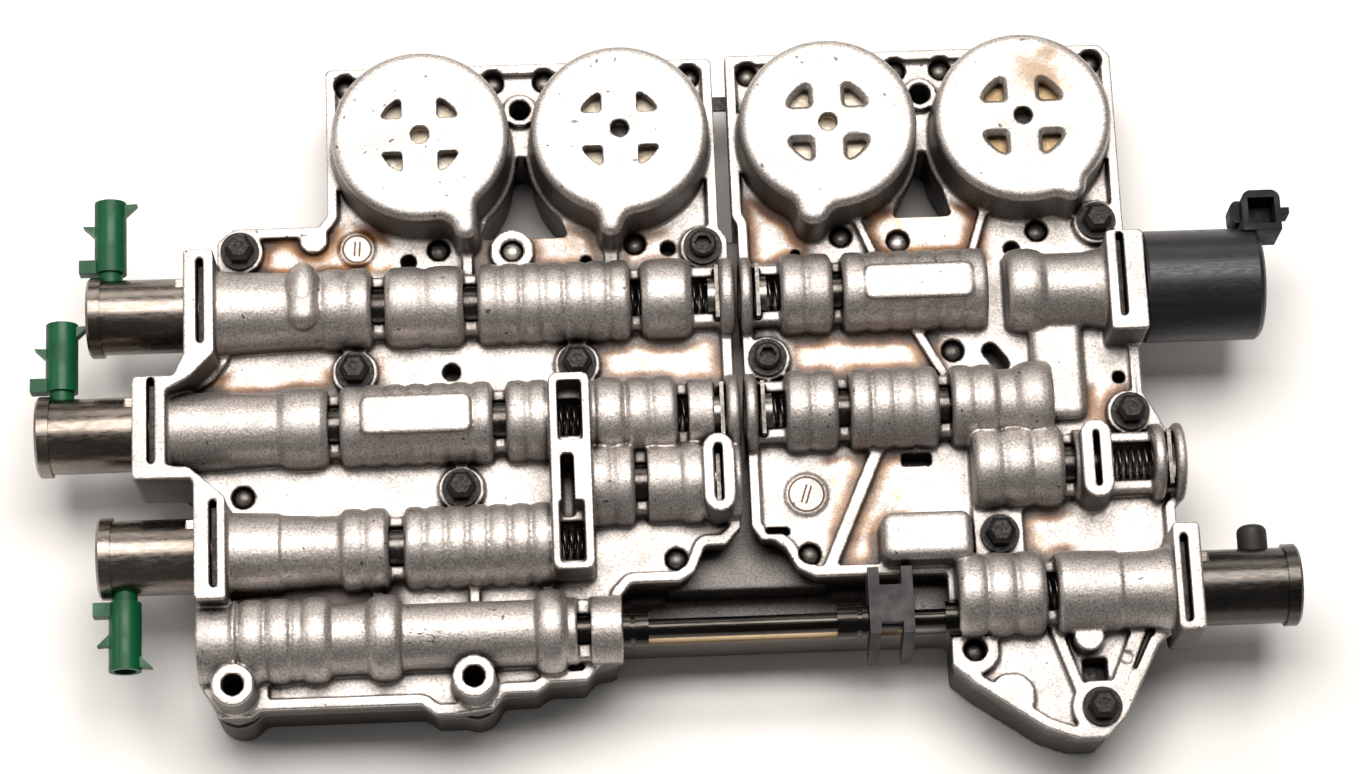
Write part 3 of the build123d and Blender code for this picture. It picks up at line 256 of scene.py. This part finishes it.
def wheel_mask(tree, axes, centre, radius, tilt):
    """1 on the thin ring and round the short bar of a blank date wheel, 0 off them."""
    def times(first, second):
        return combine(tree, "MULTIPLY", first, second)

    def distance(value, line):
        return combine(tree, "ABSOLUTE", combine(tree, "SUBTRACT", value, line), 0.0)

    east = combine(tree, "SUBTRACT", axes[0], centre[0] * MM)
    north = combine(tree, "SUBTRACT", axes[1], centre[1] * MM)
    squares = combine(tree, "ADD", times(east, east), times(north, north))
    off_ring = distance(combine(tree, "SQRT", squares, 0.0), radius * MM)
    ring = remap(tree, off_ring, RING_EDGE, LINE_CORE)
    along = combine(tree, "ADD", times(east, cos(tilt)), times(north, sin(tilt)))
    across = combine(tree, "SUBTRACT", times(east, sin(tilt)), times(north, cos(tilt)))
    length = remap(tree, distance(along, 0.0), radius * 0.62 * MM, radius * 0.5 * MM)
    off_bar = distance(distance(across, 0.0), BAR_HALF_WIDTH)
    bar = times(remap(tree, off_bar, BAR_EDGE, LINE_CORE), length)
    return combine(tree, "MAXIMUM", ring, bar)


def stain(tree, principled, axes, tint):
    """Varnish on floors, a smear on one cap, scuffs and date wheels, over a casting's colour."""
    on_floor = remap(tree, axes[2], RIM_Z - 0.3 * MM, FLOOR_Z + 1.2 * MM)
    areas = [
        combine(tree, "MULTIPLY", box_mask(tree, axes, area), strength) for area, strength in STAINS
    ]
    stained = combine(tree, "MULTIPLY", join(tree, "MAXIMUM", areas), on_floor)
    wave = remap(tree, noise(tree, 150, detail=2.0), 0.3, 0.7, -0.045, 0.045)
    openness = combine(tree, "ADD", occlusion(tree, STAIN_REACH), wave)
    cover = combine(tree, "MULTIPLY", stained, remap(tree, openness, 0.985, 0.92))
    tint = blend_color(tree, cover, tint, ramp(tree, openness, VARNISH))

    patches = remap(tree, noise(tree, 95), 0.40, 0.62, 0.0, 0.85)
    on_cap = remap(tree, axes[2], SMEAR_Z - HEIGHT_FADE, SMEAR_Z)
    smear = join(tree, "MULTIPLY", [box_mask(tree, axes, CAP_SMEAR, SMEAR_FADE), on_cap, patches])
    tint = blend_color(tree, smear, tint, SMEAR_COLOR)

    marks = noise(tree, 480, roughness=0.7, stretch=(1, 2.2, 1))
    marks = remap(tree, marks, 0.56, 0.62, 0.0, 0.9)
    on_barrel = remap(tree, axes[2], SCUFF_Z - HEIGHT_FADE, SCUFF_Z)
    scuff = join(tree, "MULTIPLY", [box_mask(tree, axes, SCUFFS), on_barrel, marks])
    tint = blend_color(tree, scuff, tint, SCUFF_COLOR)

    for centre, radius, tilt in WHEELS:
        tint = blend_color(tree, wheel_mask(tree, axes, centre, radius, tilt), tint, WHEEL_COLOR)
    soiled = combine(tree, "MAXIMUM", cover, combine(tree, "MULTIPLY", smear, 0.6))
    metallic = remap(tree, soiled, 0.0, 1.0, CASTING_METALLIC, STAINED_METALLIC)
    tree.links.new(metallic, principled.inputs["Metallic"])
    return tint


def cast_metal(name, tone, stained):
    """Bead-blasted die casting: grain, soft mottling, painted shade in corners and on side faces, and stains where
    asked.
    """
    warm = (tone, tone * 0.93, tone * 0.88)
    tree, principled = shader(name, warm, CASTING_METALLIC, 0.42)
    axes = split_axes(tree, "Object")
    grain = noise(tree, 1500, detail=2.0, roughness=0.75)
    mottling = noise(tree, 70, detail=4.0, roughness=0.6)
    light_grain = remap(tree, grain, 0.34, 0.66, smooth=False)
    tint = blend_color(tree, light_grain, scaled(warm, 0.6), scaled(warm, 1.35))
    shade = remap(tree, mottling, 0.45, 0.8, 0.0, 0.35)
    tint = blend_color(tree, shade, tint, scaled(warm, 0.55))
    specks = remap(tree, noise(tree, 520, detail=0.0), 0.82, 0.85, 0.0, 0.8)
    tint = blend_color(tree, specks, tint, SPECK_COLOR)
    # Painted shade darkens the corners and crevices, in a brown like grime
    shade_and_grime = remap(tree, occlusion(tree, SHADE_AND_GRIME_REACH), 0.76, 0.34, 0.0, 0.97)
    tint = blend_color(tree, shade_and_grime, tint, SHADE_AND_GRIME_COLOR)
    # Painted shade darkens faces that turn sideways or down
    upright = remap(tree, facing_up(tree), 0.26, 0.02, 0.0, 0.8)
    tint = blend_color(tree, upright, tint, SIDE_SHADE_COLOR)
    if stained:
        tint = stain(tree, principled, axes, tint)
    tree.links.new(tint, principled.inputs["Base Color"])
    tree.links.new(remap(tree, mottling, 0.3, 0.8, 0.44, 0.56), principled.inputs["Roughness"])
    bump(tree, principled, grain, 0.8, 0.12 * MM)


# Steel and plastic

def worn_steel(
    name, color, roughness, smear, stretch=(1, 1, 1), metallic=1.0, scale=130, shine=0.5,
):
    """Turned or plated steel with smears along its surface and fine scratches."""
    tree, principled = shader(name, color, metallic, roughness, shine)
    streak = noise(tree, scale, detail=5.0, roughness=0.6, stretch=stretch)
    scratch = noise(tree, 900, roughness=0.6, stretch=stretch)
    tint = blend_color(tree, remap(tree, streak, 0.38, 0.68, 0.0, 0.85), color, smear)
    polish = remap(tree, scratch, 0.3, 0.7, roughness * 0.75, roughness * 1.35)
    tree.links.new(tint, principled.inputs["Base Color"])
    tree.links.new(polish, principled.inputs["Roughness"])
    bump(tree, principled, scratch, 0.08, 0.05 * MM)


def moulded(name, color, roughness):
    """Moulded plastic with a fine texture and faint patches of oil."""
    tree, principled = shader(name, color, 0.0, roughness, 0.3)
    patches = noise(tree, 120)
    tint = blend_color(tree, remap(tree, patches, 0.35, 0.7, 0.0, 0.6), color, scaled(color, 0.6))
    gloss = remap(tree, patches, 0.3, 0.7, roughness * 0.8, roughness * 1.25)
    tree.links.new(tint, principled.inputs["Base Color"])
    tree.links.new(gloss, principled.inputs["Roughness"])
    bump(tree, principled, noise(tree, 2200, detail=2.0), 0.15, 0.05 * MM)


def two_tone(name, areas, color, metallic=None, tops_only=False):
    """Repaints a material inside upright boxes of x and y ranges in mm, or only its tops there."""
    tree = materials[name].node_tree
    principled = tree.nodes["Principled BSDF"]
    axes = split_axes(tree, "Object")
    inside = join(tree, "MAXIMUM", [box_mask(tree, axes, area, 0.5 * MM) for area in areas])
    if tops_only:
        inside = combine(tree, "MULTIPLY", inside, remap(tree, facing_up(tree), 0.3, 0.7))
    before = principled.inputs["Base Color"].links[0].from_socket
    tree.links.new(blend_color(tree, inside, before, color), principled.inputs["Base Color"])
    if metallic is not None:
        plain = principled.inputs["Metallic"].default_value
        tree.links.new(remap(tree, inside, 0, 1, plain, metallic), principled.inputs["Metallic"])


# Smears on turned pieces run along them: broad ones on the cans, close ones on the manual valve
ALONG = (0.3, 1.2, 1.2)
CLOSE_ALONG = (0.3, 3, 3)

# Places with a colour set apart, as x and y ranges in mm: painted light on the channel plate's wall before the bay
# and on the ledge's tops there, two screws, a painted shadow for a small hole in the fork, and pistons under the
# caps, with painted shade on them under the caps' centre holes
LIT_BAY_WALL = (-44, 62, -76, -69.6)
LIT_LEDGE_TOPS = (-44, 50, -75, -69.6)
BRIGHT_SCREWS = [(-74, -66, 47, 56), (47, 56, 47, 56)]
FORK_HOLE_SHADE = (41.2, 42.6, -66.7, -65.3)
FOURTH_PISTON = (65, 125, 50, 120)
SHADED_PISTON_CENTRES = [(-38.1, -32.1, 82.2, 88.2), (88.4, 94.4, 82.2, 88.2)]

cast_metal("cast_aluminium", 0.50, True)
# The channel plate's aluminium is toned far darker than the housings' as painted shade, for its sides in the
# shadow under them
cast_metal("channel_aluminium", 0.13, False)
# Painted light on the wall before the bay and, lighter and golden, on the ledge's tops
two_tone("channel_aluminium", [LIT_BAY_WALL], (0.17, 0.148, 0.135), metallic=0.6)
two_tone("channel_aluminium", [LIT_LEDGE_TOPS], (0.36, 0.26, 0.155), tops_only=True)
worn_steel("separator_steel", (0.05, 0.047, 0.045), 0.42, (0.02, 0.018, 0.017))
worn_steel(
    "black_bolt_steel", (0.010, 0.0085, 0.0075), 0.5, (0.022, 0.019, 0.017),
    metallic=0.0, shine=0.25,
)
worn_steel("black_screw_steel", (0.14, 0.127, 0.115), 0.42, (0.07, 0.063, 0.057))
two_tone("black_screw_steel", BRIGHT_SCREWS, (0.42, 0.39, 0.36))
worn_steel("can_steel", (0.25, 0.22, 0.195), 0.27, (0.085, 0.068, 0.056), ALONG, scale=55)
worn_steel("dark_can_steel", (0.050, 0.046, 0.043), 0.26, (0.10, 0.09, 0.082), ALONG, scale=55)
moulded("green_plastic", (0.001, 0.082, 0.027), 0.42)
moulded("grey_plastic", (0.022, 0.020, 0.019), 0.5)
worn_steel(
    "satin_black_steel", (0.016, 0.017, 0.019), 0.36, (0.026, 0.027, 0.03), (0.4, 3, 3),
    metallic=0.35,
)
moulded("black_plastic", (0.006, 0.006, 0.007), 0.6)
worn_steel("retainer_steel", (0.018, 0.016, 0.015), 0.3, (0.006, 0.0055, 0.005))
worn_steel("plug_steel", (0.3, 0.28, 0.26), 0.28, (0.14, 0.13, 0.12))
worn_steel("clip_steel", (0.14, 0.13, 0.12), 0.38, (0.06, 0.055, 0.05))
worn_steel("spool_steel", (0.10, 0.092, 0.085), 0.25, (0.035, 0.03, 0.027))
worn_steel("spring_steel", (0.14, 0.13, 0.12), 0.3, (0.05, 0.045, 0.04))
worn_steel("black_valve_steel", (0.05, 0.045, 0.04), 0.2, (0.02, 0.018, 0.016), CLOSE_ALONG)
moulded("fork_plastic", (0.030, 0.028, 0.029), 0.5)
# A painted shadow stands in for a small hole in the fork's bridge
two_tone("fork_plastic", [FORK_HOLE_SHADE], (0.004, 0.004, 0.004))
worn_steel("piston_aluminium", (0.80, 0.72, 0.60), 0.5, (0.55, 0.43, 0.29), metallic=0.2)
two_tone("piston_aluminium", [FOURTH_PISTON], (0.47, 0.32, 0.155))
# Painted shade on the pistons where they lie under the caps' centre holes
two_tone("piston_aluminium", SHADED_PISTON_CENTRES, (0.02, 0.014, 0.010))

slots = {entry["node"]: entry["material_slot"] for entry in frame["record"]["subparts"]}
for name, obj in nodes.items():
    obj.data.materials.clear()
    obj.data.materials.append(materials[slots[name]])


# Castings get the soft edges and fillets of a die-cast skin: its grid, smoothing passes and the
# share of triangles kept
SKINS = {
    "left_valve_housing": (0.5 * MM, 7, 0.14),
    "right_valve_housing": (0.5 * MM, 7, 0.17),
    "channel_plate": (0.9 * MM, 4, 0.3),
}


def soften(obj, voxel, passes, ratio):
    """Rebuilds a casting's skin on a fine grid, smooths it and thins it out again."""
    skin = obj.modifiers.new("skin", "REMESH")
    skin.mode = "VOXEL"
    skin.voxel_size = voxel
    skin.use_smooth_shade = True
    melt = obj.modifiers.new("melt", "SMOOTH")
    melt.factor = 0.5
    melt.iterations = passes
    thin = obj.modifiers.new("thin", "DECIMATE")
    thin.ratio = ratio


for name, skin in SKINS.items():
    soften(nodes[name], *skin)


# Pieces of the scene's own

def mesh_object(name, verts, faces, body, slot_name):
    """A new smooth piece from plain geometry, riding on a body of the frame."""
    mesh = bpy.data.meshes.new(name)
    mesh.from_pydata(verts, [], faces)
    mesh.update()
    for polygon in mesh.polygons:
        polygon.use_smooth = True
    obj = bpy.data.objects.new(name, mesh)
    bpy.context.scene.collection.objects.link(obj)
    mesh.materials.append(materials[slot_name])
    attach(obj, body)
    return obj


def ring_faces(rings, corners):
    """The faces between neighbouring rings in a row of rings with as many corners each."""
    faces = []
    for ring in range(rings - 1):
        base = ring * corners
        for corner in range(corners):
            nxt = (corner + 1) % corners
            faces.append((base + corner, base + nxt, base + corners + nxt, base + corners + corner))
    return faces


# Springs, wound as helices in place of their plain tubes: wire radius and pitch
VALVE_WIRE, VALVE_PITCH = 0.5 * MM, 2.1 * MM
ACCUMULATOR_WIRE, ACCUMULATOR_PITCH = 1.0 * MM, 4.2 * MM
STEPS_PER_TURN = 22
WIRE_CORNERS = 8


def wound_spring(node, axis, toward_high, wire, pitch):
    """A helix of round wire in the space of a spring's tube."""
    start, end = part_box(node)
    along = 0 if axis[0] else 2
    centre = (start + end) / 2
    radius = (end - start)[1] / 2 - wire
    length = (end - start)[along] - 2 * wire
    steps = max(3, round(length / pitch)) * STEPS_PER_TURN
    verts = []
    for step in range(steps + 1):
        angle = 2 * pi * step / STEPS_PER_TURN
        travel = start[along] + wire + length * step / steps
        for corner in range(WIRE_CORNERS):
            tilt = 2 * pi * corner / WIRE_CORNERS
            reach = radius + wire * cos(tilt)
            lift = travel + wire * sin(tilt)
            if along == 0:
                verts.append((lift, centre.y + reach * cos(angle), centre.z + reach * sin(angle)))
            else:
                verts.append((centre.x + reach * cos(angle), centre.y + reach * sin(angle), lift))
    faces = ring_faces(steps + 1, WIRE_CORNERS)
    last = steps * WIRE_CORNERS
    faces.append(tuple(range(WIRE_CORNERS)))
    faces.append(tuple(range(last + WIRE_CORNERS - 1, last - 1, -1)))
    obj = mesh_object("wound_" + node, verts, faces, "valve_body", "spring_steel")
    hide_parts(node)
    anchor = Vector(centre)
    anchor[along] = (end if toward_high else start)[along]
    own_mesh(obj)


for joint in frame["joints"]:
    for entry in joint.get("deforming_nodes", []):
        node = entry["node"]
        if node.startswith("spring_"):
            toward_high = joint["range_m"][1] > 0
            wound_spring(node, (1, 0, 0), toward_high, VALVE_WIRE, VALVE_PITCH)
        else:
            wound_spring(node, (0, 0, 1), False, ACCUMULATOR_WIRE, ACCUMULATOR_PITCH)


# Rounded screw ends, how wide and deep they are looked for, and the egg-shaped boss on the first row
SCREW_DOME_WIDTH, SCREW_DOME_HEIGHT, SCREW_DOME_SINK = 3.0 * MM, 1.9 * MM, 1.0 * MM
SCREW_END_SIZE = 6 * MM
SCREW_END_DEPTH = 4 * MM
EGG_CENTRE = (-134.9 * MM, 36.4 * MM, BORE_Z + 8.2 * MM)
EGG_WIDTH, EGG_LENGTH, EGG_HEIGHT = 6.1 * MM, 10.4 * MM, 6.6 * MM


def dome(centre, half_width, half_length, height, across=24, up=7):
    """The upper half of an egg, its widest ring at a centre point."""
    verts = []
    for level in range(up):
        angle = pi / 2 * level / up
        for step in range(across):
            turn = 2 * pi * step / across
            verts.append((
                centre[0] + half_width * cos(angle) * cos(turn),
                centre[1] + half_length * cos(angle) * sin(turn),
                centre[2] + height * sin(angle),
            ))
    verts.append((centre[0], centre[1], centre[2] + height))
    faces = ring_faces(up, across)
    last = (up - 1) * across
    for step in range(across):
        faces.append((last + step, last + (step + 1) % across, len(verts) - 1))
    return verts, faces


def screw_ends(obj):
    """The places of the upper ends of the screws in one node, in metres."""
    ends = []
    for vertex in obj.data.vertices:
        point = obj.matrix_world @ vertex.co
        if point.z < FLOOR_Z - SCREW_END_DEPTH:
            continue
        for end in ends:
            if (end[0].xy - point.xy).length < SCREW_END_SIZE:
                end.append(point)
                break
        else:
            ends.append([point])
    return [(
        (min(point.x for point in end) + max(point.x for point in end)) / 2,
        (min(point.y for point in end) + max(point.y for point in end)) / 2,
        max(point.z for point in end),
    ) for end in ends]


def round_details():
    """Domes over the screw ends in one mesh, and the boss."""
    verts, faces = [], []
    for x, y, z in screw_ends(nodes["assembly_screws"]):
        centre = (x, y, z - SCREW_DOME_SINK)
        points, patches = dome(centre, SCREW_DOME_WIDTH, SCREW_DOME_WIDTH, SCREW_DOME_HEIGHT)
        faces += [tuple(index + len(verts) for index in patch) for patch in patches]
        verts += points
    mesh_object("screw_domes", verts, faces, "valve_body", "black_screw_steel")
    points, patches = dome(EGG_CENTRE, EGG_WIDTH, EGG_LENGTH, EGG_HEIGHT, across=48, up=14)
    mesh_object("egg_boss", points, patches, "valve_body", "cast_aluminium")


round_details()


# Bare floor, light and camera: each light's name, place, width, depth and power
FLOOR_HALF_SIZE = 3.0
FLOOR_COLOR = (0.93, 0.915, 0.9)
WORLD_COLOR, WORLD_LIGHT = (1.0, 0.97, 0.94), 0.12
LIGHT_COLOR = (1.0, 0.955, 0.915)
LIGHT_TARGET = Vector((0, 0, 0.03))
LIGHTS = [
    ("top_light", (0.0, 0.38, 1.25), 1.1, 0.7, 22.5),
    ("back_light", (0.0, 1.25, 0.75), 1.4, 0.5, 5.0),
    ("side_light", (-1.1, 0.15, 0.8), 0.6, 0.6, 3.0),
]
# The photograph's viewpoint: what the camera's own axes are in the part's space, its place and lens
CAMERA_RIGHT = (0.9989, -0.0414, 0.0202)
CAMERA_UP = (0.0339, 0.9579, 0.2852)
CAMERA_BACK = (-0.0312, -0.2842, 0.9582)
CAMERA_PLACE = (-0.0557, -0.3406, 1.1997)
CAMERA_SENSOR, CAMERA_LENS = 36.0, 103.03


def studio():
    """A pale floor under wide soft light from above and behind, with little light from the front."""
    mesh = bpy.data.meshes.new("floor")
    size = FLOOR_HALF_SIZE
    corners = [(-size, -size, 0), (size, -size, 0), (size, size, 0), (-size, size, 0)]
    mesh.from_pydata(corners, [], [(0, 1, 2, 3)])
    floor = bpy.data.objects.new("floor", mesh)
    floor.location.z = low[2] - 0.2 * MM
    bpy.context.scene.collection.objects.link(floor)
    shader("floor_paint", FLOOR_COLOR, 0.0, 0.7)
    mesh.materials.append(materials["floor_paint"])
    world = bpy.data.worlds.new("studio")
    world.use_nodes = True
    background = world.node_tree.nodes["Background"]
    background.inputs["Color"].default_value = (*WORLD_COLOR, 1)
    background.inputs["Strength"].default_value = WORLD_LIGHT
    bpy.context.scene.world = world
    bpy.context.scene.view_settings.view_transform = "Standard"
    for name, place, width, depth, energy in LIGHTS:
        data = bpy.data.lights.new(name, "AREA")
        data.shape = "RECTANGLE"
        data.size = width
        data.size_y = depth
        data.energy = energy
        data.color = LIGHT_COLOR
        light = bpy.data.objects.new(name, data)
        light.location = place
        light.rotation_euler = (LIGHT_TARGET - Vector(place)).to_track_quat("-Z", "Y").to_euler()
        bpy.context.scene.collection.objects.link(light)


def photo_camera():
    """The photograph's viewpoint: from above and a little to the front."""
    data = bpy.data.cameras.new("photo_camera")
    data.sensor_width = CAMERA_SENSOR
    data.lens = CAMERA_LENS
    camera = bpy.data.objects.new("photo_camera", data)
    rows = zip(CAMERA_RIGHT, CAMERA_UP, CAMERA_BACK, CAMERA_PLACE)
    camera.matrix_world = Matrix((*rows, (0, 0, 0, 1)))
    bpy.context.scene.collection.objects.link(camera)
    bpy.context.scene.camera = camera


studio()
photo_camera()
